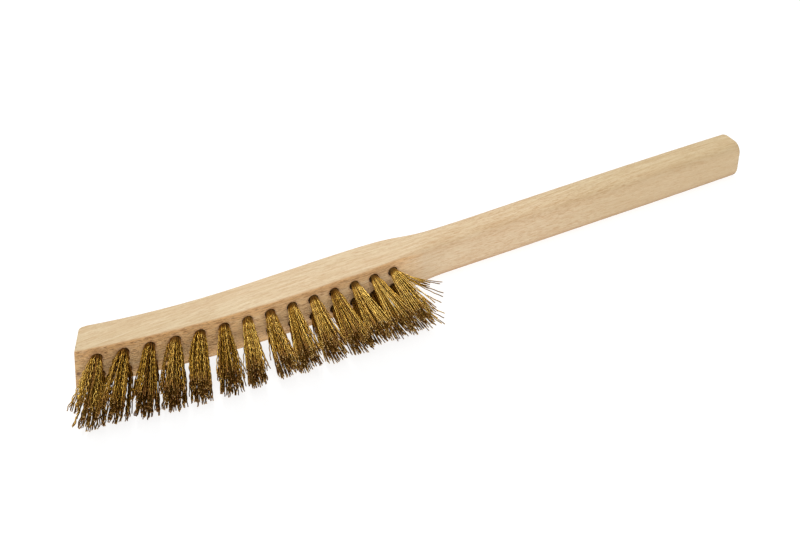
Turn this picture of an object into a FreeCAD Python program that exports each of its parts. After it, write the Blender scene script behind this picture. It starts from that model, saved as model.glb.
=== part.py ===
import FreeCAD, Part
import math
import os
import Sketcher
from FreeCAD import Vector, Placement, Rotation

# Two-row brass wire hand brush with a one-piece curved beech body.
#
# Frame: millimetres. The brush lies on one flat side of its body.
#   +X  from the head tip to the handle end
#   -Y  the way the bristles point
#   +Z  up, across the width of the body (the two tuft rows lie side by side in Z)
#   origin at the centre of the underside of the bounding box
#
# Pieces: the beech body with its drilled tuft holes, the wire tufts (row a is the
# upper row, row b the lower one, numbered from the head tip), and for every tuft
# the flat wire anchor that pins its fold to the bottom of the hole.

doc = FreeCAD.newDocument("wire_brush")

# ---------------------------------------------------------------- sizes
sheet = doc.addObject("Spreadsheet::Sheet", "Sizes")
row_number = [1]


def size(alias, value, note=""):
    n = row_number[0]
    sheet.set("A%d" % n, note or alias.replace("_", " "))
    sheet.set("B%d" % n, "%.6g" % value)
    sheet.setAlias("B%d" % n, alias)
    row_number[0] = n + 1


size("head_tip_x", -140.56, "x of the lower corner of the head tip")
size("handle_axis_y", 11.868, "y of the straight handle's centre line")
size("body_width", 16.8, "width of the body across the two rows")
size("body_length", 290.0, "length of the wooden body")
size("head_end_lift", 0.62, "height of the tip's lower corner above the handle axis")
size("head_end_slant", 25.0, "slant of the head's end cut, degrees")
size("head_end_round", 2.2, "radius of the end cut's upper corner")
size("head_end_skew", 6.4, "how far the end cut is out of square across the width, degrees")
size("end_rim_round", 1.6, "rounding of the handle end's rim")
size("planing", 0.01, "allowance planed off each flat side of the lofted stick")

size("hole_diameter", 4.0, "drilled tuft hole")
size("hole_depth", 9.0, "cylindrical depth of a tuft hole")
size("hole_point", 1.2, "depth of the conical hole bottom")
size("row_offset", 3.9, "each row's distance from the middle of the face")
size("row_a_lean", 1.2, "upward lean of the upper row, degrees")
size("row_b_lean", 0.6, "upward lean of the lower row, degrees")
size("first_hole", 7.08, "first hole from the head tip")
size("hole_pitch", 8.825, "mean pitch of the holes")
size("pitch_close", -0.0431, "closing of the pitch towards the handle")
size("first_tilt", -26.9, "tilt of the first tuft from -Y towards the head tip, degrees")
size("tilt_step", 1.80, "change of tilt from tuft to tuft, degrees")

size("trim_length", 28.6, "bristle length out of the face, upper row")
size("trim_length_b", 27.5, "bristle length out of the face, lower row")
size("root_diameter", 3.92, "tuft diameter in its hole")
size("flare_start", 0.8, "straight part of the tuft outside the face")
size("tip_diameter", 7.6, "tuft diameter at the cut ends")
size("tip_bevel", 0.8, "bevel of the cut tuft's rim")
size("tip_crown", 0.4, "crown of the cut tuft")

size("anchor_length", 5.2, "flat anchor wire, cut length")
size("anchor_width", 1.6, "flat anchor wire, width along the hole")
size("anchor_thickness", 0.45, "flat anchor wire, thickness")
size("anchor_point", 0.45, "slanted corners of the anchor's leading edge")
size("anchor_height", 1.5, "anchor's middle above the end of the cylindrical hole")
size("anchor_turn", 45.0, "anchor's turn from the long axis, degrees")
size("anchor_gap", 0.06, "room round the anchor inside the folded tuft")

# Sections of the body: distance from the head tip, bristle face and back face
# measured from the handle's centre line, and corner radius.
STATIONS = [
    (-3.6, 1.36, 16.10, 0.7),
    (10.0, -1.31, 12.85, 0.7),
    (20.0, -3.01, 10.99, 0.7),
    (30.0, -4.47, 9.58, 0.7),
    (45.0, -6.20, 8.19, 0.7),
    (60.0, -7.32, 7.59, 0.7),
    (75.0, -7.84, 7.58, 0.7),
    (90.0, -7.96, 7.80, 0.7),
    (105.0, -7.79, 7.92, 0.7),
    (116.0, -7.47, 7.76, 0.7),
    (123.0, -7.20, 7.52, 0.9),
    (129.0, -6.96, 7.27, 1.8),
    (135.0, -6.78, 7.03, 3.3),
    (141.0, -6.69, 6.84, 4.35),
    (148.0, -6.70, 6.70, 4.65),
    (160.0, -6.81, 6.66, 4.7),
    (175.0, -6.92, 6.82, 4.7),
    (195.0, -6.97, 7.03, 4.7),
    (220.0, -7.05, 7.18, 4.7),
    (250.0, -7.12, 7.20, 4.7),
    (275.0, -7.02, 7.03, 4.7),
    (290.0, -6.84, 6.81, 4.7),
]
for k, (sx, lo, hi, rad) in enumerate(STATIONS, 1):
    size("station_%02d" % k, sx)
    size("face_%02d" % k, lo)
    size("back_%02d" % k, hi)
    size("corner_%02d" % k, rad)

TUFTS = 14
doc.recompute()


def val(alias):
    return float(sheet.get(alias))


def plane(body, role):
    for feature in body.Origin.OriginFeatures:
        if feature.Role == role:
            return feature
    raise RuntimeError("no origin plane " + role)


def new_sketch(body, name, role, offset=None):
    sk = body.newObject("Sketcher::SketchObject", name)
    sk.AttachmentSupport = [(plane(body, role), "")]
    sk.MapMode = "FlatFace"
    if offset is not None:
        sk.AttachmentOffset = offset
    return sk


def polygon(sk, points):
    """Closed outline of straight lines through points; returns the line indices."""
    n = len(points)
    ids = []
    for k in range(n):
        p, q = points[k], points[(k + 1) % n]
        ids.append(sk.addGeometry(Part.LineSegment(Vector(p[0], p[1], 0), Vector(q[0], q[1], 0)), False))
    for k in range(n):
        sk.addConstraint(Sketcher.Constraint("Coincident", ids[k], 2, ids[(k + 1) % n], 1))
    return ids


def bind(sk, kind, geo, pos, value, formula):
    """Signed distance from the sketch origin to a point, bound to the sheet."""
    index = sk.addConstraint(Sketcher.Constraint(kind, -1, 1, geo, pos, value))
    sk.setExpression("Constraints[%d]" % index, formula)
    return index


# ---------------------------------------------------------------- beech body
# Rounded-rectangle sections along X, lofted into one smooth stick: nearly sharp
# edges on the head, strongly rounded edges on the handle.
blank = doc.addObject("PartDesign::Body", "BodyBlank")
blank.Label = "body_blank"
W = val("body_width") + 2 * val("planing")
AY = val("handle_axis_y")
sections = []
for k, (sx, lo, hi, rad) in enumerate(STATIONS, 1):
    sk = new_sketch(blank, "Section%02d" % k, "YZ_Plane",
                    Placement(Vector(0, -val("planing"), val("head_tip_x") + sx), Rotation()))
    sk.setExpression(".AttachmentOffset.Base.y", "-Sizes.planing")
    sk.setExpression(".AttachmentOffset.Base.z", "Sizes.head_tip_x + Sizes.station_%02d" % k)
    l, h, r = AY + lo, AY + hi, rad
    g = [
        sk.addGeometry(Part.LineSegment(Vector(l + r, 0, 0), Vector(h - r, 0, 0)), False),
        sk.addGeometry(Part.ArcOfCircle(Part.Circle(Vector(h - r, r, 0), Vector(0, 0, 1), r), -math.pi / 2, 0), False),
        sk.addGeometry(Part.LineSegment(Vector(h, r, 0), Vector(h, W - r, 0)), False),
        sk.addGeometry(Part.ArcOfCircle(Part.Circle(Vector(h - r, W - r, 0), Vector(0, 0, 1), r), 0, math.pi / 2), False),
        sk.addGeometry(Part.LineSegment(Vector(h - r, W, 0), Vector(l + r, W, 0)), False),
        sk.addGeometry(Part.ArcOfCircle(Part.Circle(Vector(l + r, W - r, 0), Vector(0, 0, 1), r), math.pi / 2, math.pi), False),
        sk.addGeometry(Part.LineSegment(Vector(l, W - r, 0), Vector(l, r, 0)), False),
        sk.addGeometry(Part.ArcOfCircle(Part.Circle(Vector(l + r, r, 0), Vector(0, 0, 1), r), math.pi, 1.5 * math.pi), False),
    ]
    C = Sketcher.Constraint
    for a in range(8):
        sk.addConstraint(C("Tangent", g[a], 2, g[(a + 1) % 8], 1))
    sk.addConstraint(C("Horizontal", g[0]))
    sk.addConstraint(C("Vertical", g[2]))
    sk.addConstraint(C("Horizontal", g[4]))
    sk.addConstraint(C("Vertical", g[6]))
    for a in (3, 5, 7):
        sk.addConstraint(C("Equal", g[1], g[a]))
    sk.addConstraint(C("PointOnObject", g[0], 1, -1))
    index = sk.addConstraint(C("Radius", g[1], r))
    sk.setExpression("Constraints[%d]" % index, "Sizes.corner_%02d" % k)
    bind(sk, "DistanceX", g[6], 1, l, "Sizes.handle_axis_y + Sizes.face_%02d" % k)
    bind(sk, "DistanceX", g[2], 1, h, "Sizes.handle_axis_y + Sizes.back_%02d" % k)
    bind(sk, "DistanceY", g[4], 1, W, "Sizes.body_width + 2 * Sizes.planing")
    sections.append(sk)
doc.recompute()

loft = blank.newObject("PartDesign::AdditiveLoft", "Stick")
loft.Profile = sections[0]
loft.Sections = sections[1:]
loft.Ruled = False
loft.Closed = False
doc.recompute()
stick_volume = loft.Shape.Volume

# The head's end is cut on a slant, parallel to the first tufts, and its upper
# corner is rounded off. The cut is a little out of square across the width, so
# the underside reaches further out than the top.
TX = 0.0
cut = new_sketch(blank, "EndCut", "XY_Plane", Placement(
    Vector(val("head_tip_x"), 0, val("body_width")), Rotation(Vector(0, 1, 0), val("head_end_skew"))))
cut.setExpression(".AttachmentOffset.Base.x", "Sizes.head_tip_x")
cut.setExpression(".AttachmentOffset.Base.z", "Sizes.body_width")
slant = math.radians(val("head_end_slant"))
rr = val("head_end_round")
top_y = AY + 13.80
low_y = AY + val("head_end_lift")
bx = TX + math.tan(slant) * (0.0)
# line direction up the slanted end
ux, uy = math.sin(slant), math.cos(slant)
p_low = Vector(TX - ux * 4.0, low_y - uy * 4.0, 0)
reach = (top_y - low_y) / uy
p_arc1 = Vector(TX + ux * (reach - 2.6), low_y + uy * (reach - 2.6), 0)
# the rounded corner turns from the slanted line to the back's own slope
back_dir = math.radians(-13.0)
vx, vy = math.cos(back_dir), math.sin(back_dir)
# arc tangent to (ux,uy) at p_arc1, turning clockwise to (vx,vy)
nx, ny = uy, -ux
cxx, cyy = p_arc1.x + nx * rr, p_arc1.y + ny * rr
a_start = math.atan2(p_arc1.y - cyy, p_arc1.x - cxx)
a_end = math.atan2(vx, -vy)
p_arc2 = Vector(cxx + rr * math.cos(a_end), cyy + rr * math.sin(a_end), 0)
p_far = Vector(p_arc2.x + vx * 9.0, p_arc2.y + vy * 9.0 + 3.0, 0)
out = [
    cut.addGeometry(Part.LineSegment(p_low, p_arc1), False),
    cut.addGeometry(Part.ArcOfCircle(Part.Circle(Vector(cxx, cyy, 0), Vector(0, 0, 1), rr), a_end, a_start), False),
    cut.addGeometry(Part.LineSegment(p_arc2, p_far), False),
    cut.addGeometry(Part.LineSegment(p_far, Vector(p_far.x, top_y + 12, 0)), False),
    cut.addGeometry(Part.LineSegment(Vector(p_far.x, top_y + 12, 0), Vector(TX - 14, top_y + 12, 0)), False),
    cut.addGeometry(Part.LineSegment(Vector(TX - 14, top_y + 12, 0), Vector(TX - 14, p_low.y, 0)), False),
    cut.addGeometry(Part.LineSegment(Vector(TX - 14, p_low.y, 0), p_low), False),
]
C = Sketcher.Constraint
cut.addConstraint(C("Tangent", out[0], 2, out[1], 2))
cut.addConstraint(C("Coincident", out[1], 1, out[2], 1))
cut.addConstraint(C("Coincident", out[2], 2, out[3], 1))
cut.addConstraint(C("Coincident", out[3], 2, out[4], 1))
cut.addConstraint(C("Coincident", out[4], 2, out[5], 1))
cut.addConstraint(C("Coincident", out[5], 2, out[6], 1))
cut.addConstraint(C("Coincident", out[6], 2, out[0], 1))
cut.addConstraint(C("Vertical", out[3]))
cut.addConstraint(C("Horizontal", out[4]))
cut.addConstraint(C("Vertical", out[5]))
cut.addConstraint(C("Horizontal", out[6]))
index = cut.addConstraint(C("Radius", out[1], rr))
cut.setExpression("Constraints[%d]" % index, "Sizes.head_end_round")
index = cut.addConstraint(C("Angle", -1, out[0], math.radians(90.0) - slant))
cut.setExpression("Constraints[%d]" % index, "90 deg - Sizes.head_end_slant * 1 deg")
doc.recompute()

end_cut = blank.newObject("PartDesign::Pocket", "HeadEndCut")
end_cut.Profile = cut
end_cut.Type = "ThroughAll"
end_cut.Midplane = True
doc.recompute()
if not (1.0 < stick_volume - end_cut.Shape.Volume < 2500.0):
    raise RuntimeError("head end cut removed %.2f" % (stick_volume - end_cut.Shape.Volume))


def end_rim(shape, x_value):
    """Names of the edges lying in the plane x = x_value."""
    names = []
    for n, edge in enumerate(shape.Edges, 1):
        bb = edge.BoundBox
        if abs(bb.XMin - x_value) < 0.02 and abs(bb.XMax - x_value) < 0.02:
            names.append("Edge%d" % n)
    return names


tail_x = val("head_tip_x") + val("body_length")
rim = blank.newObject("PartDesign::Fillet", "HandleEndRound")
rim.Base = (end_cut, end_rim(end_cut.Shape, tail_x))
rim.Radius = val("end_rim_round")
rim.setExpression("Radius", "Sizes.end_rim_round")
doc.recompute()
blank.Tip = rim
W = val("body_width")

# Both sides are planed to width, which leaves two true parallel flats: the brush
# rests on the lower one.
stock = doc.addObject("Part::Box", "PlanedStock")
stock.setExpression("Length", "Sizes.body_length + 40")
stock.Width = 80
stock.setExpression("Height", "Sizes.body_width")
stock.Placement = Placement(Vector(val("head_tip_x") - 20, AY - 40, 0), Rotation())
stock.setExpression(".Placement.Base.x", "Sizes.head_tip_x - 20")
stock.setExpression(".Placement.Base.y", "Sizes.handle_axis_y - 40")
planed = doc.addObject("Part::Common", "PlanedStick")
planed.Base = blank
planed.Tool = stock
doc.recompute()
if not (1.0 < blank.Shape.Volume - planed.Shape.Volume < 200.0):
    raise RuntimeError("planing removed %.2f" % (blank.Shape.Volume - planed.Shape.Volume))

# ---------------------------------------------------------------- tuft places
def face_y(x_abs):
    """Bristle face's y at a station, read from the stick itself."""
    probe = Part.makeLine(Vector(x_abs, -40, W / 2), Vector(x_abs, 60, W / 2))
    return probe.common(planed.Shape).BoundBox.YMin


def places():
    out = []
    for i in range(TUFTS):
        along = val("first_hole") + val("hole_pitch") * i + val("pitch_close") * i * (i - 13)
        tilt = math.radians(val("first_tilt") + val("tilt_step") * i)
        x_abs = val("head_tip_x") + along
        y_abs = face_y(x_abs)
        for row, side in (("a", 1), ("b", -1)):
            lean = math.radians(val("row_%s_lean" % row))
            d = Vector(math.sin(tilt) * math.cos(lean), -math.cos(tilt) * math.cos(lean), math.sin(lean))
            e1 = Vector(1, 0, 0) - d * d.x
            e1.normalize()
            e2 = d.cross(e1)
            turn = math.radians(val("anchor_turn")) * side
            ex = e1 * math.cos(turn) + e2 * math.sin(turn)
            ey = d.cross(ex)
            base = Vector(x_abs, y_abs, val("body_width") / 2 + side * val("row_offset"))
            out.append(("%s%02d" % (row, i + 1), Placement(base, Rotation(ex, ey, d, "ZXY"))))
    return out


PLACES = places()

# ---------------------------------------------------------------- drilled holes
# Each hole is a cylinder with a conical bottom; the anchor's ends bite two short
# slits into the wall just above that bottom.
cutters = []
for name, place in PLACES:
    bore = doc.addObject("Part::Cylinder", "Bore_" + name)
    bore.setExpression("Radius", "Sizes.hole_diameter / 2")
    bore.setExpression("Height", "Sizes.hole_depth + 4")
    bore.Placement = place.multiply(Placement(Vector(0, 0, -val("hole_depth")), Rotation()))
    point = doc.addObject("Part::Cone", "Point_" + name)
    point.Radius1 = 0
    point.setExpression("Radius2", "Sizes.hole_diameter / 2")
    point.setExpression("Height", "Sizes.hole_point")
    point.Placement = place.multiply(Placement(Vector(0, 0, -val("hole_depth") - val("hole_point")), Rotation()))
    slit = doc.addObject("Part::Box", "Slit_" + name)
    slit.setExpression("Length", "Sizes.anchor_length")
    slit.setExpression("Width", "Sizes.anchor_thickness")
    slit.setExpression("Height", "Sizes.anchor_width")
    slit.Placement = place.multiply(Placement(
        Vector(-val("anchor_length") / 2, -val("anchor_thickness") / 2,
               -val("hole_depth") + val("anchor_height") - val("anchor_width") / 2), Rotation()))
    cutters += [bore, point, slit]
drilling = doc.addObject("Part::MultiFuse", "Drilling")
drilling.Shapes = cutters
wood = doc.addObject("Part::Cut", "WoodenBody")
wood.Label = "wooden_body"
wood.Base = planed
wood.Tool = drilling
doc.recompute()
if not (2000.0 < planed.Shape.Volume - wood.Shape.Volume < 5000.0):
    raise RuntimeError("holes removed %.1f" % (planed.Shape.Volume - wood.Shape.Volume))

parts = [("wooden_body", wood)]

# ---------------------------------------------------------------- wire tufts
# One closed solid per tuft: the packed root in its hole, the flare outside and
# the trimmed, slightly crowned end. The fold passes round the anchor, so the
# anchor's strip goes through the root.
root_r = val("root_diameter") / 2
hole_r = val("hole_diameter") / 2
tip_r = val("tip_diameter") / 2
point_drop = val("hole_point") * (hole_r - root_r) / hole_r
for name, place in PLACES:
    tuft = doc.addObject("PartDesign::Body", "Tuft_" + name)
    tuft.Label = "tuft_" + name
    tuft.Placement = place
    sk = new_sketch(tuft, "TuftProfile_" + name, "XZ_Plane")
    trim = "trim_length" if name[0] == "a" else "trim_length_b"
    D, T = val("hole_depth"), val(trim)
    pts = [
        (0.0, -(D + val("hole_point"))),
        (root_r, -(D + point_drop)),
        (root_r, val("flare_start")),
        (tip_r, T - val("tip_bevel")),
        (tip_r - val("tip_bevel"), T),
        (0.0, T + val("tip_crown")),
    ]
    g = polygon(sk, pts)
    sk.addConstraint(Sketcher.Constraint("PointOnObject", g[0], 1, -2))
    sk.addConstraint(Sketcher.Constraint("PointOnObject", g[5], 1, -2))
    bind(sk, "DistanceY", g[0], 1, pts[0][1], "-(Sizes.hole_depth + Sizes.hole_point)")
    bind(sk, "DistanceX", g[1], 1, pts[1][0], "Sizes.root_diameter / 2")
    bind(sk, "DistanceY", g[1], 1, pts[1][1],
         "-(Sizes.hole_depth + Sizes.hole_point * (Sizes.hole_diameter - Sizes.root_diameter) / Sizes.hole_diameter)")
    bind(sk, "DistanceX", g[2], 1, pts[2][0], "Sizes.root_diameter / 2")
    bind(sk, "DistanceY", g[2], 1, pts[2][1], "Sizes.flare_start")
    bind(sk, "DistanceX", g[3], 1, pts[3][0], "Sizes.tip_diameter / 2")
    bind(sk, "DistanceY", g[3], 1, pts[3][1], "Sizes.%s - Sizes.tip_bevel" % trim)
    bind(sk, "DistanceX", g[4], 1, pts[4][0], "Sizes.tip_diameter / 2 - Sizes.tip_bevel")
    bind(sk, "DistanceY", g[4], 1, pts[4][1], "Sizes." + trim)
    bind(sk, "DistanceY", g[5], 1, pts[5][1], "Sizes.%s + Sizes.tip_crown" % trim)
    rev = tuft.newObject("PartDesign::Revolution", "TuftTurn_" + name)
    rev.Profile = sk
    rev.ReferenceAxis = (sk, ["V_Axis"])
    rev.Angle = 360.0
    doc.recompute()
    solid_volume = rev.Shape.Volume

    slot = new_sketch(tuft, "FoldSlot_" + name, "YZ_Plane")
    gap = val("anchor_gap")
    hy = val("anchor_thickness") / 2 + gap
    zc = -D + val("anchor_height")
    hz = val("anchor_width") / 2 + gap
    g = polygon(slot, [(-hy, zc - hz), (hy, zc - hz), (hy, zc + hz), (-hy, zc + hz)])
    slot.addConstraint(Sketcher.Constraint("Horizontal", g[0]))
    slot.addConstraint(Sketcher.Constraint("Vertical", g[1]))
    slot.addConstraint(Sketcher.Constraint("Horizontal", g[2]))
    slot.addConstraint(Sketcher.Constraint("Vertical", g[3]))
    bind(slot, "DistanceX", g[0], 1, -hy, "-(Sizes.anchor_thickness / 2 + Sizes.anchor_gap)")
    bind(slot, "DistanceX", g[2], 1, hy, "Sizes.anchor_thickness / 2 + Sizes.anchor_gap")
    bind(slot, "DistanceY", g[0], 1, zc - hz,
         "Sizes.anchor_height - Sizes.hole_depth - Sizes.anchor_width / 2 - Sizes.anchor_gap")
    bind(slot, "DistanceY", g[2], 1, zc + hz,
         "Sizes.anchor_height - Sizes.hole_depth + Sizes.anchor_width / 2 + Sizes.anchor_gap")
    through = tuft.newObject("PartDesign::Pocket", "FoldSlotCut_" + name)
    through.Profile = slot
    through.Type = "ThroughAll"
    through.Midplane = True
    doc.recompute()
    removed = solid_volume - through.Shape.Volume
    if not (1.0 < removed < 8.0):
        raise RuntimeError("fold slot of %s removed %.3f" % (name, removed))
    tuft.Tip = through
    parts.append(("tuft_" + name, tuft))

# ---------------------------------------------------------------- anchors
# A short piece of flat wire, longer than the hole is wide, with slanted corners
# on its leading edge where it is driven into the wood.
for name, place in PLACES:
    anchor = doc.addObject("PartDesign::Body", "Anchor_" + name)
    anchor.Label = "anchor_" + name
    anchor.Placement = place
    sk = new_sketch(anchor, "AnchorOutline_" + name, "XZ_Plane")
    hl = val("anchor_length") / 2
    hw = val("anchor_width") / 2
    zc = -val("hole_depth") + val("anchor_height")
    c = val("anchor_point")
    pts = [(-hl + c, zc - hw), (hl - c, zc - hw), (hl, zc - hw + c), (hl, zc + hw), (-hl, zc + hw), (-hl, zc - hw + c)]
    g = polygon(sk, pts)
    sk.addConstraint(Sketcher.Constraint("Horizontal", g[0]))
    sk.addConstraint(Sketcher.Constraint("Vertical", g[2]))
    sk.addConstraint(Sketcher.Constraint("Horizontal", g[3]))
    sk.addConstraint(Sketcher.Constraint("Vertical", g[4]))
    bind(sk, "DistanceX", g[0], 1, pts[0][0], "-(Sizes.anchor_length / 2 - Sizes.anchor_point)")
    bind(sk, "DistanceX", g[1], 1, pts[1][0], "Sizes.anchor_length / 2 - Sizes.anchor_point")
    bind(sk, "DistanceY", g[0], 1, pts[0][1], "Sizes.anchor_height - Sizes.hole_depth - Sizes.anchor_width / 2")
    bind(sk, "DistanceX", g[2], 1, pts[2][0], "Sizes.anchor_length / 2")
    bind(sk, "DistanceY", g[2], 1, pts[2][1],
         "Sizes.anchor_height - Sizes.hole_depth - Sizes.anchor_width / 2 + Sizes.anchor_point")
    bind(sk, "DistanceY", g[3], 1, pts[3][1], "Sizes.anchor_height - Sizes.hole_depth + Sizes.anchor_width / 2")
    bind(sk, "DistanceX", g[4], 1, pts[4][0], "-Sizes.anchor_length / 2")
    bind(sk, "DistanceY", g[5], 1, pts[5][1],
         "Sizes.anchor_height - Sizes.hole_depth - Sizes.anchor_width / 2 + Sizes.anchor_point")
    pad = anchor.newObject("PartDesign::Pad", "AnchorPad_" + name)
    pad.Profile = sk
    pad.Midplane = True
    pad.Length = val("anchor_thickness")
    pad.setExpression("Length", "Sizes.anchor_thickness")
    anchor.Tip = pad
    parts.append(("anchor_" + name, anchor))

doc.recompute()

# ---------------------------------------------------------------- checks
bad = []
for obj in doc.Objects:
    for word in obj.State:
        if "Invalid" in word or "Error" in word:
            bad.append("%s: %s" % (obj.Name, word))
for node, obj in parts:
    shape = obj.Shape
    if shape.isNull() or not shape.isValid() or len(shape.Solids) != 1 or shape.Volume <= 0:
        bad.append("%s: shape" % node)
if bad:
    raise RuntimeError("failed: " + "; ".join(bad))

box = FreeCAD.BoundBox()
for node, obj in parts:
    box.add(obj.Shape.BoundBox)
print("box x %.3f %.3f  y %.3f %.3f  z %.3f %.3f" % (box.XMin, box.XMax, box.YMin, box.YMax, box.ZMin, box.ZMax))
print("centre %.3f %.3f" % (box.Center.x, box.Center.y))
print("wood volume %.0f, tuft volume %.1f, anchor volume %.3f" % (
    wood.Shape.Volume, parts[1][1].Shape.Volume, parts[-1][1].Shape.Volume))

os.makedirs("parts", exist_ok=True)
for node, obj in parts:
    obj.Shape.exportStep("parts/%s.step" % node)
print("wrote %d parts" % len(parts))
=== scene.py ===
import math

import bpy
import numpy as np
from mathutils import Matrix, Vector


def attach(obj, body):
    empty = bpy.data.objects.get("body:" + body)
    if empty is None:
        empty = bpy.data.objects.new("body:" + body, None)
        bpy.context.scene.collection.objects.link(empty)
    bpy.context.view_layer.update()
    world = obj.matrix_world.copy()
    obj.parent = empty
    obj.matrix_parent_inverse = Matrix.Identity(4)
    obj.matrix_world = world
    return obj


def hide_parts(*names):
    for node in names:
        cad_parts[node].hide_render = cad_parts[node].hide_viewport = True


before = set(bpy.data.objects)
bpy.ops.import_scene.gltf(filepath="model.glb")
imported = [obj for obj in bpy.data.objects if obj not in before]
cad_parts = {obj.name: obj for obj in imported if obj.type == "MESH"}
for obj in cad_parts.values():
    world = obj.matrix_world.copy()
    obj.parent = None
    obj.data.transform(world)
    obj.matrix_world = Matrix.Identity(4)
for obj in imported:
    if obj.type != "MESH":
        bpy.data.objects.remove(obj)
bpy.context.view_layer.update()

MM = 0.001
scene = bpy.context.scene


# ------------------------------------------------------------------ node helpers
def material(name):
    m = bpy.data.materials.new(name)
    m.use_nodes = True
    nt = m.node_tree
    nt.nodes.clear()
    out = nt.nodes.new("ShaderNodeOutputMaterial")
    bsdf = nt.nodes.new("ShaderNodeBsdfPrincipled")
    nt.links.new(bsdf.outputs[0], out.inputs[0])
    return m, nt, bsdf


def add(nt, kind, **props):
    n = nt.nodes.new(kind)
    for k, v in props.items():
        setattr(n, k, v)
    return n


def math_node(nt, op, a, b=None, clamp=False):
    n = nt.nodes.new("ShaderNodeMath")
    n.operation = op
    n.use_clamp = clamp
    for i, v in enumerate((a, b)):
        if v is None:
            continue
        if isinstance(v, (int, float)):
            n.inputs[i].default_value = v
        else:
            nt.links.new(v, n.inputs[i])
    return n.outputs[0]


def scaled(nt, vec, sx, sy, sz, loc=(0, 0, 0)):
    n = nt.nodes.new("ShaderNodeMapping")
    n.inputs["Scale"].default_value = (sx, sy, sz)
    n.inputs["Location"].default_value = loc
    nt.links.new(vec, n.inputs["Vector"])
    return n.outputs[0]


def noise(nt, vec, scale, detail=3.0, rough=0.5, distort=0.0):
    n = nt.nodes.new("ShaderNodeTexNoise")
    n.inputs["Scale"].default_value = scale
    n.inputs["Detail"].default_value = detail
    n.inputs["Roughness"].default_value = rough
    n.inputs["Distortion"].default_value = distort
    nt.links.new(vec, n.inputs["Vector"])
    return n.outputs[0]


def ramp(nt, fac, stops, interpolation="LINEAR"):
    n = nt.nodes.new("ShaderNodeValToRGB")
    n.color_ramp.interpolation = interpolation
    el = n.color_ramp.elements
    while len(el) > 1:
        el.remove(el[-1])
    el[0].position, el[0].color = stops[0][0], stops[0][1]
    for pos, col in stops[1:]:
        e = el.new(pos)
        e.color = col
    nt.links.new(fac, n.inputs[0])
    return n.outputs[0]


def grey(v):
    return (v, v, v, 1.0)


def mix(nt, fac, a, b, blend="MIX"):
    n = nt.nodes.new("ShaderNodeMix")
    n.data_type = "RGBA"
    n.blend_type = blend
    n.clamp_factor = True
    for sock, v in ((n.inputs[0], fac), (n.inputs[6], a), (n.inputs[7], b)):
        if isinstance(v, (int, float)):
            sock.default_value = v
        elif isinstance(v, tuple):
            sock.default_value = v
        else:
            nt.links.new(v, sock)
    return n.outputs[2]


def srgb(r, g, b):
    def f(c):
        c /= 255.0
        return c / 12.92 if c <= 0.04045 else ((c + 0.055) / 1.055) ** 2.4
    return (f(r), f(g), f(b), 1.0)


# ------------------------------------------------------------------ beech
def hole_distance(nt, x, z):
    """Distance in mm from the centre of the nearest hole mouth, in the plane of the drilled face."""
    xr = math_node(nt, "ADD", x, 140.56 - 7.08)
    root = math_node(nt, "SQRT", math_node(nt, "MAXIMUM", math_node(nt, "SUBTRACT", 88.0838, math_node(nt, "MULTIPLY", xr, 0.1724)), 0.01))
    i = math_node(nt, "DIVIDE", math_node(nt, "SUBTRACT", 9.3853, root), 0.0862)
    j = math_node(nt, "MINIMUM", math_node(nt, "MAXIMUM", math_node(nt, "ROUND", i), 0.0), 13.0)
    xj = math_node(nt, "SUBTRACT", math_node(nt, "MULTIPLY", j, 9.3853), math_node(nt, "MULTIPLY", math_node(nt, "MULTIPLY", j, j), 0.0431))
    dx = math_node(nt, "MULTIPLY", math_node(nt, "SUBTRACT", xr, xj), 0.94)
    dz = math_node(nt, "SUBTRACT", math_node(nt, "ABSOLUTE", math_node(nt, "SUBTRACT", z, 8.4)), 3.9)
    d2 = math_node(nt, "ADD", math_node(nt, "MULTIPLY", dx, dx), math_node(nt, "MULTIPLY", dz, dz))
    return math_node(nt, "SQRT", d2)


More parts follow.
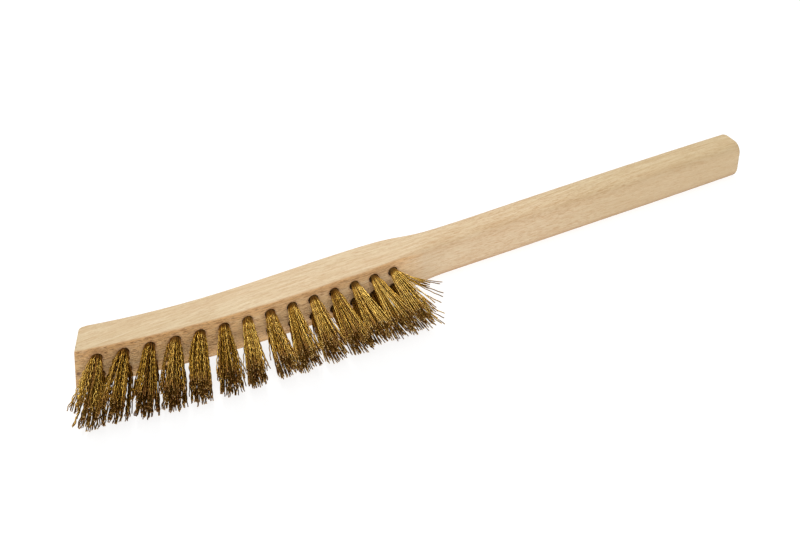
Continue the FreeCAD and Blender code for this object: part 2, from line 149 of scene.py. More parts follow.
def beech():
    m, nt, bsdf = material("beech")
    co = add(nt, "ShaderNodeTexCoord").outputs["Object"]
    mm = scaled(nt, co, 1000, 1000, 1000)          # millimetres
    geo = add(nt, "ShaderNodeNewGeometry")
    sep_n = add(nt, "ShaderNodeSeparateXYZ")
    nt.links.new(geo.outputs["Normal"], sep_n.inputs[0])
    raw_xyz = add(nt, "ShaderNodeSeparateXYZ")
    nt.links.new(mm, raw_xyz.inputs[0])

    # slow wander of the grain, so no streak is ruler straight
    wander = noise(nt, scaled(nt, mm, 0.012, 0.05, 0.05), 1.0, 2.0)
    wander = math_node(nt, "MULTIPLY", math_node(nt, "SUBTRACT", wander, 0.5), 6.0)
    x = raw_xyz.outputs[0]
    y = math_node(nt, "ADD", raw_xyz.outputs[1], wander)
    y = math_node(nt, "ADD", y, math_node(nt, "MULTIPLY", x, -0.025))
    z = math_node(nt, "ADD", raw_xyz.outputs[2], math_node(nt, "MULTIPLY", wander, 0.5))
    z = math_node(nt, "ADD", z, math_node(nt, "MULTIPLY", x, 0.03))
    comb = add(nt, "ShaderNodeCombineXYZ")
    nt.links.new(x, comb.inputs[0]); nt.links.new(y, comb.inputs[1]); nt.links.new(z, comb.inputs[2])
    grain = comb.outputs[0]

    # growth rings: distance from a pith line far behind the stick
    ry = math_node(nt, "SUBTRACT", y, 95.0)
    rz = math_node(nt, "SUBTRACT", z, -14.0)
    r2 = math_node(nt, "ADD", math_node(nt, "MULTIPLY", ry, ry), math_node(nt, "MULTIPLY", rz, rz))
    rad = math_node(nt, "SQRT", r2)
    ring = math_node(nt, "FRACT", math_node(nt, "DIVIDE", rad, 3.4))
    late = ramp(nt, ring, [(0.0, grey(0.0)), (0.55, grey(0.10)), (0.90, grey(0.8)), (0.965, grey(1.0)), (1.0, grey(0.0))])

    # broad soft streaks, thin drawn-out lines, and finer fibre under them
    fibre = noise(nt, scaled(nt, grain, 0.05, 0.9, 0.9), 1.0, 4.0, 0.62)
    line_n = noise(nt, scaled(nt, grain, 0.085, 1.55, 1.55, (3, 11, 7)), 1.0, 2.0, 0.55)
    line = ramp(nt, line_n, [(0.0, grey(0)), (0.535, grey(0)), (0.64, grey(1)), (1.0, grey(1))])
    pale_n = noise(nt, scaled(nt, grain, 0.07, 1.2, 1.2, (23, 1, 17)), 1.0, 2.0, 0.5)
    pale = ramp(nt, pale_n, [(0.0, grey(0)), (0.54, grey(0)), (0.66, grey(1)), (1.0, grey(1))])
    fibre2 = noise(nt, scaled(nt, grain, 0.16, 7.5, 7.5), 1.0, 2.0, 0.5)
    patch = noise(nt, scaled(nt, mm, 0.018, 0.12, 0.12), 1.0, 3.0, 0.55)

    # cut rays and vessels: short dark dashes along the stick
    rays = noise(nt, scaled(nt, grain, 0.26, 1.9, 2.6), 1.0, 2.0, 0.55)
    flecks = ramp(nt, rays, [(0.0, grey(0)), (0.54, grey(0)), (0.64, grey(1)), (1.0, grey(1))])
    rays2 = noise(nt, scaled(nt, grain, 0.42, 3.2, 4.2, (31, 7, 5)), 1.0, 1.0, 0.5)
    flecks2 = ramp(nt, rays2, [(0.0, grey(0)), (0.565, grey(0)), (0.65, grey(1)), (1.0, grey(1))])
    pores = noise(nt, scaled(nt, grain, 0.9, 8.0, 8.0), 1.0, 1.0, 0.4)
    pore = ramp(nt, pores, [(0.0, grey(0)), (0.60, grey(0)), (0.70, grey(1)), (1.0, grey(1))])

    light = srgb(*LIGHT)
    base = mix(nt, ramp(nt, fibre, [(0.34, grey(0)), (0.68, grey(1))]), light, srgb(*DEEP))
    base = mix(nt, math_node(nt, "MULTIPLY", ramp(nt, patch, [(0.35, grey(0)), (0.70, grey(1))]), 0.40), base, srgb(216, 184, 144))
    base = mix(nt, math_node(nt, "MULTIPLY", late, 0.10), base, srgb(196, 156, 112))
    # surfaces that look towards -Y are pinker
    face = math_node(nt, "MULTIPLY", sep_n.outputs[1], -1.0)
    tang = ramp(nt, face, [(0.0, grey(0)), (0.62, grey(0.05)), (0.90, grey(1)), (1.0, grey(1))])
    base = mix(nt, math_node(nt, "MULTIPLY", tang, 0.65), base, srgb(*PINK))
    # the head's drilled face is redder raw wood, painted lighter than that wood to offset the shade the tufts cast on
    # it; it fades out at the neck
    head = ramp(nt, math_node(nt, "ADD", math_node(nt, "DIVIDE", raw_xyz.outputs[0], 150.0), 1.0), [(0.0, grey(1)), (0.45, grey(0.85)), (0.80, grey(0.62)), (0.90, grey(0.50)), (0.97, grey(0)), (1.0, grey(0))])
    facemask = ramp(nt, face, [(0.0, grey(0)), (0.62, grey(0)), (0.86, grey(1)), (1.0, grey(1))])
    headface = math_node(nt, "MULTIPLY", facemask, head)
    raw_with_painted_lift = mix(nt, ramp(nt, patch, [(0.40, grey(0)), (0.68, grey(1))]), srgb(*RAW_PAINTED_LIFT), srgb(*RAW2_PAINTED_LIFT))
    base = mix(nt, headface, base, raw_with_painted_lift)
    # the figure is quieter towards the end of the handle
    far = ramp(nt, math_node(nt, "ADD", math_node(nt, "DIVIDE", raw_xyz.outputs[0], 300.0), 0.5), [(0.0, grey(0)), (0.70, grey(0)), (0.86, grey(1)), (1.0, grey(1))])
    # painted shade: a warm, darker band along the eased edges, where the rounding turns between the top and the drilled
    # face
    edge_shade_band = math_node(nt, "ABSOLUTE", math_node(nt, "MULTIPLY", sep_n.outputs[1], sep_n.outputs[2]))
    edge_shade_band = ramp(nt, edge_shade_band, [(0.0, grey(0)), (0.12, grey(0)), (0.46, grey(1)), (1.0, grey(1))])
    edge_shade_band = math_node(nt, "MULTIPLY", edge_shade_band, math_node(nt, "ADD", math_node(nt, "MULTIPLY", head, 0.36), math_node(nt, "SUBTRACT", 0.12, math_node(nt, "MULTIPLY", far, 0.08))))
    base = mix(nt, edge_shade_band, base, srgb(210, 158, 102))
    # the drilled face is warmest just under its upper edge
    under = ramp(nt, math_node(nt, "DIVIDE", raw_xyz.outputs[2], 16.8), [(0.0, grey(0)), (0.74, grey(0)), (0.95, grey(1)), (1.0, grey(1))])
    base = mix(nt, math_node(nt, "MULTIPLY", math_node(nt, "MULTIPLY", under, headface), 0.50), base, srgb(224, 170, 112))
    # painted shade: the rims that turn downwards are darkened, where they face away from the lamps; the rims at the
    # back are browner
    downward_rim_shade = ramp(nt, math_node(nt, "MULTIPLY", sep_n.outputs[2], -1.0), [(0.0, grey(0)), (0.12, grey(0)), (0.55, grey(1)), (0.80, grey(1)), (0.97, grey(0))])
    base = mix(nt, math_node(nt, "MULTIPLY", downward_rim_shade, 0.50), base, srgb(150, 106, 64))
    rear = ramp(nt, sep_n.outputs[1], [(0.0, grey(0)), (0.30, grey(0)), (0.70, grey(1)), (0.97, grey(0))])
    base = mix(nt, math_node(nt, "MULTIPLY", rear, 0.30), base, srgb(172, 132, 84))
    # streaks and dashes, strongest on the drilled face
    base = mix(nt, math_node(nt, "MULTIPLY", line, math_node(nt, "ADD", math_node(nt, "MULTIPLY", headface, 0.16), math_node(nt, "SUBTRACT", 0.20, math_node(nt, "MULTIPLY", far, 0.12)))), base, srgb(190, 144, 100))
    base = mix(nt, math_node(nt, "MULTIPLY", pale, math_node(nt, "SUBTRACT", 0.22, math_node(nt, "MULTIPLY", far, 0.10))), base, srgb(236, 218, 186))
    grip = ramp(nt, math_node(nt, "ADD", math_node(nt, "DIVIDE", raw_xyz.outputs[0], 300.0), 0.5), [(0.0, grey(0)), (0.44, grey(0)), (0.56, grey(1)), (1.0, grey(1))])
    side = math_node(nt, "ADD", math_node(nt, "MULTIPLY", headface, 0.50), math_node(nt, "SUBTRACT", math_node(nt, "ADD", math_node(nt, "MULTIPLY", grip, 0.14), 0.22), math_node(nt, "MULTIPLY", far, 0.18)))
    base = mix(nt, math_node(nt, "MULTIPLY", flecks, side), base, mix(nt, headface, srgb(182, 130, 80), srgb(148, 96, 56)))
    base = mix(nt, math_node(nt, "MULTIPLY", flecks2, math_node(nt, "MULTIPLY", side, 0.8)), base, mix(nt, headface, srgb(166, 112, 66), srgb(126, 80, 48)))
    base = mix(nt, math_node(nt, "MULTIPLY", pore, 0.22), base, srgb(158, 116, 80))

    # painted shade: the stick is darkened towards the end of the handle, where the light falls off; it is also a little
    # deeper in colour at the head tip
    ends_falloff_and_tone = ramp(nt, math_node(nt, "ADD", math_node(nt, "DIVIDE", raw_xyz.outputs[0], 300.0), 0.5), [(0.0, grey(0.80)), (0.14, grey(0.42)), (0.28, grey(0)), (0.60, grey(0)), (0.80, grey(0.75)), (1.0, grey(1))], "EASE")
    base = mix(nt, ends_falloff_and_tone, base, mix(nt, 1.0, base, (0.90, 0.89, 0.83, 1.0), "MULTIPLY"))
    # and the drilled face is a shade duller beside the end cut
    dull = ramp(nt, math_node(nt, "ADD", math_node(nt, "DIVIDE", raw_xyz.outputs[0], 300.0), 0.5), [(0.0, grey(1)), (0.04, grey(1)), (0.12, grey(0)), (1.0, grey(0))])
    base = mix(nt, math_node(nt, "MULTIPLY", dull, headface), base, mix(nt, 1.0, base, (0.85, 0.86, 0.91, 1.0), "MULTIPLY"))

    # a small dark pin knot low on the drilled face, and painted shade of a small nick in the corner of the head's end
    def near(cx, cy, cz, sx, sy, sz):
        total = None
        for k, (c, w) in enumerate(((cx, sx), (cy, sy), (cz, sz))):
            q = math_node(nt, "DIVIDE", math_node(nt, "SUBTRACT", raw_xyz.outputs[k], c), w)
            q = math_node(nt, "MULTIPLY", q, q)
            total = q if total is None else math_node(nt, "ADD", total, q)
        return ramp(nt, total, [(0.0, grey(1)), (0.35, grey(1)), (1.0, grey(0))])
    base = mix(nt, math_node(nt, "MULTIPLY", near(-140.5, 12.5, 6.8, 0.9, 3.0, 1.0), 0.70), base, srgb(104, 70, 54))
    # painted shade: the nick is drawn only as a dark mark where its hollow would be in shade
    base = mix(nt, math_node(nt, "MULTIPLY", near(-139.3, 15.4, 16.8, 0.45, 1.5, 1.2), 0.55), base, srgb(150, 116, 62))

    # round each hole: torn pale fibres on the lip, and a dark wall inside
    hd = hole_distance(nt, raw_xyz.outputs[0], raw_xyz.outputs[2])
    tear = noise(nt, scaled(nt, mm, 0.9, 2.0, 2.0, (4, 4, 8)), 1.0, 2.0, 0.6)
    hd_t = math_node(nt, "ADD", hd, math_node(nt, "MULTIPLY", math_node(nt, "SUBTRACT", tear, 0.5), 1.6))
    lip = ramp(nt, math_node(nt, "DIVIDE", hd_t, 4.0), [(0.0, grey(1)), (0.52, grey(1)), (0.66, grey(0)), (1.0, grey(0))])
    lip_pale = ramp(nt, tear, [(0.0, grey(0)), (0.50, grey(0)), (0.60, grey(1)), (1.0, grey(1))])
    base = mix(nt, math_node(nt, "MULTIPLY", math_node(nt, "MULTIPLY", lip, facemask), 0.45), base, srgb(150, 100, 66))
    base = mix(nt, math_node(nt, "MULTIPLY", math_node(nt, "MULTIPLY", math_node(nt, "MULTIPLY", lip, lip_pale), facemask), 0.75), base, srgb(226, 190, 146))
    inside = math_node(nt, "LESS_THAN", hd, 2.02)
    band = math_node(nt, "LESS_THAN", math_node(nt, "ABSOLUTE", math_node(nt, "SUBTRACT", raw_xyz.outputs[2], 8.4)), 7.0)
    inside = math_node(nt, "MULTIPLY", math_node(nt, "MULTIPLY", inside, band), math_node(nt, "SUBTRACT", 1.0, facemask))
    notback = math_node(nt, "LESS_THAN", sep_n.outputs[1], 0.55)
    base = mix(nt, math_node(nt, "MULTIPLY", math_node(nt, "MULTIPLY", inside, notback), 0.75), base, srgb(112, 62, 34))
    nt.links.new(base, bsdf.inputs["Base Color"])

    rgh = ramp(nt, fibre, [(0.2, grey(0.58)), (0.8, grey(0.72))])
    nt.links.new(rgh, bsdf.inputs["Roughness"])
    bsdf.inputs["Specular IOR Level"].default_value = 0.30

    hgt = math_node(nt, "SUBTRACT", math_node(nt, "MULTIPLY", fibre2, 0.6), math_node(nt, "MULTIPLY", pore, 0.5))
    hgt = math_node(nt, "SUBTRACT", hgt, math_node(nt, "MULTIPLY", flecks, 0.25))
    bump = add(nt, "ShaderNodeBump")
    bump.inputs["Strength"].default_value = 0.35
    bump.inputs["Distance"].default_value = 0.00012
    nt.links.new(hgt, bump.inputs["Height"])
    nt.links.new(bump.outputs[0], bsdf.inputs["Normal"])
    return m


LIGHT, DEEP, PINK = (228, 208, 172), (210, 184, 144), (208, 183, 150)
# the drilled face's redder wood, painted lighter than it is to offset the shade the tufts cast on it
RAW_PAINTED_LIFT, RAW2_PAINTED_LIFT = (252, 208, 148), (242, 192, 130)


# ------------------------------------------------------------------ brass wire
def brass(name, dark, mid, bright, rough_lo, rough_hi):
    m, nt, bsdf = material(name)
    co = add(nt, "ShaderNodeTexCoord").outputs["Object"]
    mm = scaled(nt, co, 1000, 1000, 1000)
    # every wire has a tone of its own, from 0 to 1, and noise along it; the per-wire value also holds painted light,
    # since whole bundles are brightened or dimmed by how much highlight they catch
    own_tone_and_light = add(nt, "ShaderNodeAttribute")
    own_tone_and_light.attribute_name = "tone_and_light"
    along = noise(nt, scaled(nt, mm, 1.5, 0.55, 1.5), 1.0, 3.0, 0.6)
    tone_and_light = math_node(nt, "ADD", math_node(nt, "MULTIPLY", own_tone_and_light.outputs["Fac"], 0.62), math_node(nt, "MULTIPLY", along, 0.38))
    spot = noise(nt, scaled(nt, mm, 3.5, 3.5, 3.5, (9, 2, 4)), 1.0, 3.0, 0.6)
    col = ramp(nt, tone_and_light, [(0.18, dark), (0.5, mid), (0.80, bright)])
    stain = ramp(nt, spot, [(0.0, grey(0)), (0.55, grey(0)), (0.75, grey(1)), (1.0, grey(1))])
    col = mix(nt, math_node(nt, "MULTIPLY", stain, 0.35), col, srgb(98, 64, 20))
    # oxide: browner at the roots and the tips, and all along a few of the wires
    age = add(nt, "ShaderNodeAttribute")
    age.attribute_name = "age"
    col = mix(nt, math_node(nt, "MULTIPLY", age.outputs["Fac"], 0.75), col, srgb(124, 76, 38))
    nt.links.new(math_node(nt, "SUBTRACT", 1.0, math_node(nt, "MULTIPLY", age.outputs["Fac"], 0.65)), bsdf.inputs["Metallic"])
    nt.links.new(col, bsdf.inputs["Base Color"])
    bsdf.inputs["Specular Tint"].default_value = srgb(236, 214, 168)
    rg = ramp(nt, spot, [(0.3, grey(rough_lo)), (0.7, grey(rough_hi))])
    nt.links.new(rg, bsdf.inputs["Roughness"])
    drawn = noise(nt, scaled(nt, mm, 14, 14, 14), 1.0, 2.0, 0.5)
    bump = add(nt, "ShaderNodeBump")
    bump.inputs["Strength"].default_value = 0.25
    bump.inputs["Distance"].default_value = 0.00002
    nt.links.new(drawn, bump.inputs["Height"])
    nt.links.new(bump.outputs[0], bsdf.inputs["Normal"])
    return m


def zinc():
    m, nt, bsdf = material("anchor_zinc")
    co = add(nt, "ShaderNodeTexCoord").outputs["Object"]
    mm = scaled(nt, co, 1000, 1000, 1000)
    n1 = noise(nt, scaled(nt, mm, 0.8, 0.8, 6.0), 1.0, 3.0, 0.6)
    n2 = noise(nt, scaled(nt, mm, 5, 5, 5), 1.0, 3.0, 0.6)
    nt.links.new(ramp(nt, n1, [(0.3, grey(0.42)), (0.7, grey(0.62))]), bsdf.inputs["Base Color"])
    nt.links.new(ramp(nt, n2, [(0.3, grey(0.30)), (0.7, grey(0.50))]), bsdf.inputs["Roughness"])
    bsdf.inputs["Metallic"].default_value = 1.0
    bump = add(nt, "ShaderNodeBump")
    bump.inputs["Strength"].default_value = 0.2
    bump.inputs["Distance"].default_value = 0.00002
    nt.links.new(n1, bump.inputs["Height"])
    nt.links.new(bump.outputs[0], bsdf.inputs["Normal"])
    return m


BEECH = beech()
WIRE = brass("brass_wire", srgb(100, 70, 25), srgb(153, 117, 45), srgb(204, 171, 88), 0.30, 0.48)
CUT = brass("brass_cut_end", srgb(96, 68, 34), srgb(190, 154, 92), srgb(250, 224, 166), 0.40, 0.55)
ZINC = zinc()

for name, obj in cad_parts.items():
    mat = BEECH if name == "wooden_body" else (ZINC if name.startswith("anchor") else WIRE)
    if not obj.material_slots:
        obj.data.materials.append(mat)
    for s in obj.material_slots:
        s.material = mat


# ------------------------------------------------------------------ wire tufts
SIDES = 6
HOLE_BOTTOM = 10.2      # from the tuft's apex in the hole to the mouth
ENDS = 56               # wire ends in one tuft; each wire is folded, so half as many wires


def tube(points, radius, sides=SIDES):
    """Rings of a round wire along points (n, 3); returns their vertices."""
    p = np.asarray(points, float)
    n = len(p)
    t = np.gradient(p, axis=0)
    t /= np.linalg.norm(t, axis=1)[:, None]
    u = np.cross(t[0], (0.3, 0.5, 0.81))
    u /= np.linalg.norm(u)
    us = np.empty_like(p)
    for k in range(n):
        u = u - t[k] * np.dot(u, t[k])
        u /= np.linalg.norm(u)
        us[k] = u
    vs = np.cross(t, us)
    a = np.arange(sides) * 2 * math.pi / sides
    ring = (us[:, None, :] * np.cos(a)[None, :, None] + vs[:, None, :] * np.sin(a)[None, :, None]) * radius
    return (p[:, None, :] + ring).reshape(-1, 3)


def tuft_frame(name):
    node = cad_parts["tuft_" + name]
    co = np.array([v.co for v in node.data.vertices], float) / MM
    c = co.mean(0)
    w, vec = np.linalg.eigh(np.cov((co - c).T))
    d = vec[:, -1]
    if d[1] > 0:
        d = -d
    s = (co - c) @ d
    root, tip = co[s.argmin()], co[s.argmax()]
    d = (tip - root) / np.linalg.norm(tip - root)
    mouth = root + d * HOLE_BOTTOM
    length = np.linalg.norm(tip - root) - HOLE_BOTTOM - 0.4
    side = 1 if name[0] == "a" else -1
    e1 = np.array([1.0, 0, 0]) - d * d[0]
    e1 /= np.linalg.norm(e1)
    e2 = np.cross(d, e1)
    turn = math.radians(45.0) * side
    ex = e1 * math.cos(turn) + e2 * math.sin(turn)
    ey = np.cross(d, ex)
    return mouth, d, ex, ey, e1, length


def smooth(t):
    t = np.clip(t, 0, 1)
    return t * t * (3 - 2 * t)


def lerp_table(table, num):
    xs = [k for k, _ in table]
    return float(np.interp(num, xs, [v for _, v in table]))


# how far the tips spread along the stick and across it, the crimp that shows, and
# how much the ends clump, from the tuft at the head tip (1) to the last one (14)
SPREAD_X = [(1, 5.7), (2, 5.3), (3, 5.3), (4, 5.4), (5, 4.8), (6, 5.1), (7, 4.1), (8, 3.7), (9, 4.8), (10, 4.7), (12, 5.5), (14, 6.5)]
SPREAD_Z = [(1, 3.9), (4, 3.6), (10, 3.6), (14, 3.9)]
CRIMP = [(1, 0.24), (5, 0.22), (7, 0.18), (9, 0.10), (11, 0.06), (14, 0.05)]
CLUMP = [(1, 0.45), (4, 0.35), (9, 0.26), (14, 0.22)]
RAGGED = [(1, 1.0), (4, 0.65), (9, 0.5), (14, 0.5)]
TIP_PUSH = [(1, 0.5), (2, -1.3), (3, -0.9), (4, -1.7), (5, -2.0), (6, -0.1), (7, -0.7), (8, 1.6), (9, 0.4), (10, 0.6), (12, 0.4), (13, 0.8), (14, 1.7)]
# the lower row is pushed a little further than the upper one, and cut a little shorter
PUSH_B = [(1, 0.3), (7, 0.0), (8, 0.9), (9, 0.0), (10, 1.6), (11, 2.6), (12, 0.5), (13, 0.3), (14, 0.0)]
SHORT_B = [(1, 0.2), (2, 0.6), (3, 0.0), (7, 0.3), (8, 1.3), (9, 0.2), (10, 0.9), (11, 0.6), (12, 1.4), (13, 1.0), (14, 0.3)]
BOW = [(1, 0.80), (2, 0.62), (3, 0.85), (4, 0.72), (5, 0.66), (6, 0.85), (8, 0.95), (14, 0.92)]
# painted light: per-bundle brightness offsets standing in for how much highlight each bundle catches
BUNDLE_PAINTED_LIGHT = [(1, 0.00), (2, -0.12), (3, -0.26), (4, -0.12), (6, -0.12), (8, 0.0), (14, -0.02)]     # how bright each bundle is
BELLY = [(1, 0.05), (2, 0.16), (3, 0.03), (4, 0.12), (5, 0.26), (6, 0.0), (14, 0.0)]


# wires bent towards the handle, outermost first: how far they end up sideways,
# along the tuft and across the stick, in mm
BENT = {"a": [(12.3, 15.4, 1.2), (10.9, 16.4, 0.9), (7.6, 14.9, 1.5), (7.1, 15.6, 1.9), (6.7, 14.8, 1.3), (10.0, 21.4, 0.5),
              (6.9, 16.4, 1.6), (6.2, 15.4, 1.8), (8.8, 23.6, 0.4), (6.4, 16.9, 1.2), (7.4, 25.2, 0.2)],
        "b": [(9.0, 24.0, 0.6), (8.2, 25.6, 0.2), (6.9, 29.0, 0.0), (6.2, 27.6, -0.3)]}


def make_tuft(name, index):
    row, num = name[0], int(name[1:])
    side = 1 if row == "a" else -1
    rng = np.random.default_rng(1000 + index * 17)
    mouth, d, ex, ey, e1, length = tuft_frame(name)
    e2 = np.cross(d, e1)
    across = e2 if e2[2] > 0 else -e2           # points up, across the width
    away = (num - 1) / 13.0                     # 0 at the head tip, 1 at the handle
    spread_x, spread_z = lerp_table(SPREAD_X, num), lerp_table(SPREAD_Z, num)
    wave_amp = lerp_table(CRIMP, num)
    clump = lerp_table(CLUMP, num)
    ragged = lerp_table(RAGGED, num)
    push = lerp_table(TIP_PUSH, num)
    belly = lerp_table(BELLY, num)
    wave_len = 4.4
    wire_r = 0.19
    half = ENDS // 2
    root_shift = 0.30 * smooth((away - 0.30) / 0.5)   # the later bundles sit against one side of the hole

    # half-disc packing of the folds on one side of the anchor
    pts = []
    step, ys, rowk = 0.42, 0.44, 0
    while ys < 1.76:
        reach = math.sqrt(max(0.0, 1.74 ** 2 - ys ** 2))
        count = int(2 * reach / step) + 1
        for q in range(count):
            pts.append((-reach + (2 * reach) * (q + 0.5 + 0.2 * (rowk % 2)) / (count + 0.2), 0.40 + 1.30 * (ys - 0.44)))
        ys += step * 0.80
        rowk += 1
    pts = np.array(pts)
    pts = pts[np.sort(rng.permutation(len(pts))[:half])]
    half = len(pts)

    # tips gather in small clumps
    n_clump = 16
    kk = np.arange(n_clump)
    cr_ = 0.95 * np.sqrt((kk + 0.5) / n_clump)
    ca_ = kk * 2.39996 + rng.uniform(0, 6.28)
    centres = np.stack([cr_ * np.cos(ca_), cr_ * np.sin(ca_)], 1) + rng.normal(0, 0.05, (n_clump, 2))
    clump_len = rng.normal(0, 0.45 * ragged, n_clump)
    tuft_phase = rng.uniform(0, 2 * math.pi)
    clump_plane = rng.normal(0, 0.6, n_clump)

    c45, s45 = float(np.dot(ex, e1)), float(np.dot(ex, across))
    d45, t45 = float(np.dot(ey, e1)), float(np.dot(ey, across))
    verts, faces, mats, tone_and_light_rows, ages = [], [], [], [], []
    offset = 0
    n_leg = 60
    # the wires that are bent are the ones nearest the handle
    bent_of = {}
    if num == 14:
        place = np.stack([pts[:, 0] * c45 + pts[:, 1] * d45, pts[:, 0] * c45 - pts[:, 1] * d45], 1).ravel()
        order = np.argsort(-place)
        bent_of = {int(order[q]): BENT[row][q] for q in range(len(BENT[row]))}
    for k in range(half):
        px, py = pts[k]
        tone_fold = rng.uniform(0, 1)
        legs = []
        for leg, sgn in enumerate((1, -1)):
            # place in the root, in (along the stick, across) coordinates
            rx = px + rng.normal(0, 0.03)
            ry = py * sgn
            x0 = rx * c45 + ry * d45
            z0 = rx * s45 + ry * t45
            u0, v0 = x0 / 1.76, z0 / 1.76
            tu, tv = u0 + rng.normal(0, 0.06), v0 + rng.normal(0, 0.06)
            near = int(np.argmin((centres[:, 0] - tu) ** 2 + (centres[:, 1] - tv) ** 2))
            pull = min(0.9, clump * rng.uniform(0.4, 1.6))
            tu = tu + (centres[near, 0] - tu) * pull
            tv = tv + (centres[near, 1] - tv) * pull
            rel = min(1.0, math.hypot(u0, v0))
            stray = rng.random() < (0.10 if num <= 2 or num >= 13 else 0.05)
            if stray:
                g = 1.0 + abs(rng.normal(0, 0.28))
                tu = tu * g
                tv = tv * (g if tv > -0.3 else 1.0)
            x1 = tu * spread_x + push * (0.6 + 0.4 * tu)
            z1 = tv * spread_z
            L = length + clump_len[near] + rng.normal(0, 0.30 * ragged) - 0.3 * rel ** 2
            if row == "b":
                x1 += lerp_table(PUSH_B, num)
                L -= 1.4 * float(smooth(0.5 - 0.6 * tv)) - 0.1 + lerp_table(SHORT_B, num)
            if rng.random() < 0.05:
                L -= abs(rng.normal(0, 1.6))
            s = np.concatenate([np.linspace(-7.4, -0.6, 7), np.linspace(0.0, L, n_leg)])
            t = np.clip(s / length, 0, 1.2)
            bow = lerp_table(BOW, num) + 0.05 * rng.normal()
            # each wire leaves the hole in a gentle cone and opens a little more near its end
            h = np.where(s > 0, 0.88 * t ** bow + 0.12 * t ** 3.0 + belly * np.sin(math.pi * np.clip(t, 0, 1)), 0.0)
            lx = x0 + (x1 - x0) * h
            lz = z0 + (z1 - z0) * h
            if stray:
                bend = rng.normal(0, 0.9) * smooth((t - 0.35) / 0.65) ** 2
                lx = lx + bend
            # crimp: a flat wave, roughly in step with the neighbours
            if rng.random() < 0.85:
                ph = tuft_phase + rng.normal(0, 0.38)
                ang = clump_plane[near] + rng.normal(0, 0.25) + math.pi / 2
            else:
                ph, ang = rng.uniform(0, 6.283), rng.uniform(0, 6.283)
            amp = wave_amp * (0.25 + 0.75 * smooth((s + 0.5) / 5.0)) * rng.uniform(0.75, 1.2)
            lam = wave_len * (1 + 0.02 * rng.normal())
            wv = amp * np.sin(2 * math.pi * s / lam + ph)
            wa, wl = rng.uniform(0, 6.283), rng.uniform(20, 40)
            wander = (0.24 - 0.14 * away) * smooth(s / 12.0) * np.sin(2 * math.pi * s / wl + rng.uniform(0, 6.28))
            lx = lx + wv * math.cos(ang) + wander * math.cos(wa)
            lz = lz + wv * math.sin(ang) + wander * math.sin(wa)
            # inside the hole nothing leaves the bore
            rr = np.hypot(lx, lz)
            lim = 1.73 + 0.4 * np.maximum(s - 0.9, 0.0)
            f = np.minimum(1.0, lim / np.maximum(rr, 1e-6))
            lx, lz = lx * f, lz * f
            if 2 * k + leg in bent_of:
                out, reach, lift = bent_of[2 * k + leg]
                s = np.concatenate([np.linspace(-7.4, -0.6, 7), np.linspace(0.0, reach, n_leg)])
                k_ = np.clip(s / reach, 0, 1)
                lx = x0 * (1 - 0.4 * k_) + out * (0.50 * k_ + 0.50 * k_ ** 2.0) + 0.05 * np.sin(s * 1.6 + ph)
                lz = z0 * (1 - 0.5 * k_) + (lift + rng.normal(0, 0.15)) * k_ ** 1.5 + 0.05 * np.cos(s * 1.6 + ph)
            # a bundle that sits to one side is squeezed, so it stays inside the bore
            squeeze = 1 - (root_shift / 1.73) * (1 - smooth((s - 0.9) / 3.0))
            lx, lz = lx * squeeze, lz * squeeze
            # the last few millimetres are darker and browner
            end = smooth((s - s[-1] + 7.0) / 7.0)
            old = 0.14 * smooth((away - 0.35) / 0.3) + (0.55 * rng.random() if rng.random() < 0.3 else 0.0) + 0.30 * end + 0.8 * smooth((2.6 - s) / 2.6)
            if 2 * k + leg in bent_of:
                old = 0.35 * old
            # painted light: bundles nearer the handle are brightened, and each bundle offset, where the highlights fall
            # more strongly; the random part is each wire's own tone
            own_tone_and_light = rng.uniform(0, 1) * 0.9 + 0.04 + 0.32 * away + lerp_table(BUNDLE_PAINTED_LIGHT, num)
            legs.append((np.stack([lx, lz, s], 1), own_tone_and_light - 0.22 * end, np.clip(old, 0, 1)))
        (a, tone_and_light_a, age_a), (b, tone_and_light_b, age_b) = legs
        # the fold goes under the anchor, rounding from one leg to the other
        turn = np.linspace(0, math.pi, 7)[1:-1]
        mid = (a[0] + b[0]) / 2
        half_v = (a[0] - b[0]) / 2
        depth = min(2.1, 0.95 + 0.45 * float(np.hypot(half_v[0], half_v[1])))
        fold = mid[None, :] + half_v[None, :] * np.cos(turn)[:, None]
        fold[:, 2] = -7.75 - depth * np.sin(turn)
        path = np.concatenate([a[::-1], fold, b])
        tone_and_light = np.concatenate([tone_and_light_a[::-1], np.full(len(fold), tone_fold), tone_and_light_b])
        age = np.concatenate([age_a[::-1], np.full(len(fold), 0.8), age_b])
        world = mouth + path[:, 0:1] * e1 + path[:, 1:2] * across + path[:, 2:3] * d
        world[:, 0] += np.where(path[:, 2] < 2, 1, np.clip(1 - (path[:, 2] - 2) / 8, 0, 1)) * root_shift
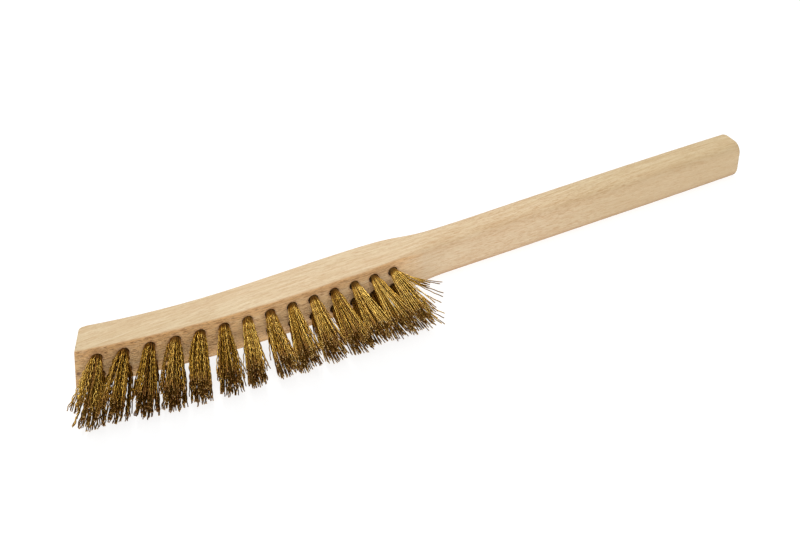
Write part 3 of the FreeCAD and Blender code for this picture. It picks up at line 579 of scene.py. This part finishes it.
        # the lowest wires lie on the surface the brush rests on
        zmin = wire_r + 0.03
        world[:, 2] = np.where(world[:, 2] < zmin + 0.25, zmin + 0.25 * np.exp((world[:, 2] - zmin - 0.25) / 0.25), world[:, 2])
        v = tube(world, wire_r)
        n = len(world)
        idx = offset + np.arange(n * SIDES).reshape(n, SIDES)
        nxt = np.roll(idx, -1, axis=1)
        q = np.stack([idx[:-1], nxt[:-1], nxt[1:], idx[1:]], -1).reshape(-1, 4)
        verts.append(v)
        tone_and_light_rows.append(np.repeat(tone_and_light, SIDES))
        ages.append(np.repeat(age, SIDES))
        faces.extend(q.tolist())
        mats.extend([0] * len(q))
        faces.append(idx[0][::-1].tolist())
        faces.append(idx[-1].tolist())
        mats.extend([1, 1])
        offset += n * SIDES
    co = np.concatenate(verts) * MM
    me = bpy.data.meshes.new("bristles_" + name)
    me.from_pydata(co.tolist(), [], faces)
    me.materials.append(WIRE)
    me.materials.append(CUT)
    me.polygons.foreach_set("material_index", mats)
    me.polygons.foreach_set("use_smooth", [mm_ == 0 for mm_ in mats])
    at = me.attributes.new("tone_and_light", "FLOAT", "POINT")
    at.data.foreach_set("value", np.concatenate(tone_and_light_rows).astype(np.float32))
    at = me.attributes.new("age", "FLOAT", "POINT")
    at.data.foreach_set("value", np.concatenate(ages).astype(np.float32))
    me.update()
    ob = bpy.data.objects.new("bristles_" + name, me)
    scene.collection.objects.link(ob)
    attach(ob, "root")
    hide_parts("tuft_" + name)
    return ob


names = [r + "%02d" % i for r in "ab" for i in range(1, 15)]
for i, nm in enumerate(names):
    make_tuft(nm, i)

# ------------------------------------------------------------------ camera
yaw, pitch, roll = math.radians(-28.057), math.radians(36.998), math.radians(-0.734)
cy, sy, cp, sp, cr, sr = math.cos(yaw), math.sin(yaw), math.cos(pitch), math.sin(pitch), math.cos(roll), math.sin(roll)
fwd = Vector((-sy * cp, cy * cp, -sp))
right = Vector((cy, sy, 0.0))
up = right.cross(fwd)
r = cr * right + sr * up
u = -sr * right + cr * up
cam = bpy.data.cameras.new("camera")
cam.sensor_fit = "HORIZONTAL"
cam.sensor_width = 36.0
cam.lens = 63.0
cam.clip_start = 0.01
cam.clip_end = 20.0
cam_ob = bpy.data.objects.new("camera", cam)
loc = Vector((-0.21524, -0.36991, 0.33318))
rot = Matrix((r, u, -fwd)).transposed()
cam_ob.matrix_world = Matrix.Translation(loc) @ rot.to_4x4()
scene.collection.objects.link(cam_ob)
scene.camera = cam_ob

# ------------------------------------------------------------------ floor and light
fm, fnt, fb = material("pale_floor")
fco = add(fnt, "ShaderNodeTexCoord").outputs["Object"]
fn = noise(fnt, scaled(fnt, fco, 3, 3, 3), 1.0, 2.0, 0.5)
fnt.links.new(ramp(fnt, fn, [(0.3, grey(0.30)), (0.7, grey(0.32))]), fb.inputs["Base Color"])
fb.inputs["Roughness"].default_value = 0.9
fb.inputs["Specular IOR Level"].default_value = 0.1
fb.inputs["Emission Color"].default_value = (1, 1, 1, 1)
fb.inputs["Emission Strength"].default_value = 0.80
fme = bpy.data.meshes.new("floor")
S = 12.0
Z0 = -0.00002         # a hair under the wood, so the two flat faces never share a plane
fme.from_pydata([(-S, -S, Z0), (S, -S, Z0), (S, S, Z0), (-S, S, Z0)], [], [(0, 1, 2, 3)])
fme.materials.append(fm)
floor = bpy.data.objects.new("floor", fme)
scene.collection.objects.link(floor)

world = bpy.data.worlds.new("studio")
world.use_nodes = True
bg = world.node_tree.nodes["Background"]
bg.inputs[0].default_value = (1, 1, 1, 1)
bg.inputs[1].default_value = 0.36
scene.world = world


def area(name, loc, target, size, power):
    li = bpy.data.lights.new(name, "AREA")
    li.shape = "DISK"
    li.size = size
    li.energy = power
    ob = bpy.data.objects.new(name, li)
    ob.location = loc
    ob.rotation_euler = (Vector(target) - Vector(loc)).to_track_quat("-Z", "Y").to_euler()
    scene.collection.objects.link(ob)


area("key", (-0.04, -0.25, 1.0), (-0.02, 0, 0), 0.55, 1.6)
area("back", (0.10, 0.85, 0.85), (0, 0, 0), 0.45, 8.0)
area("front", (-0.40, -1.10, 0.70), (0, 0, 0), 1.0, 8.8)

scene.view_settings.view_transform = "Standard"
scene.view_settings.look = "None"
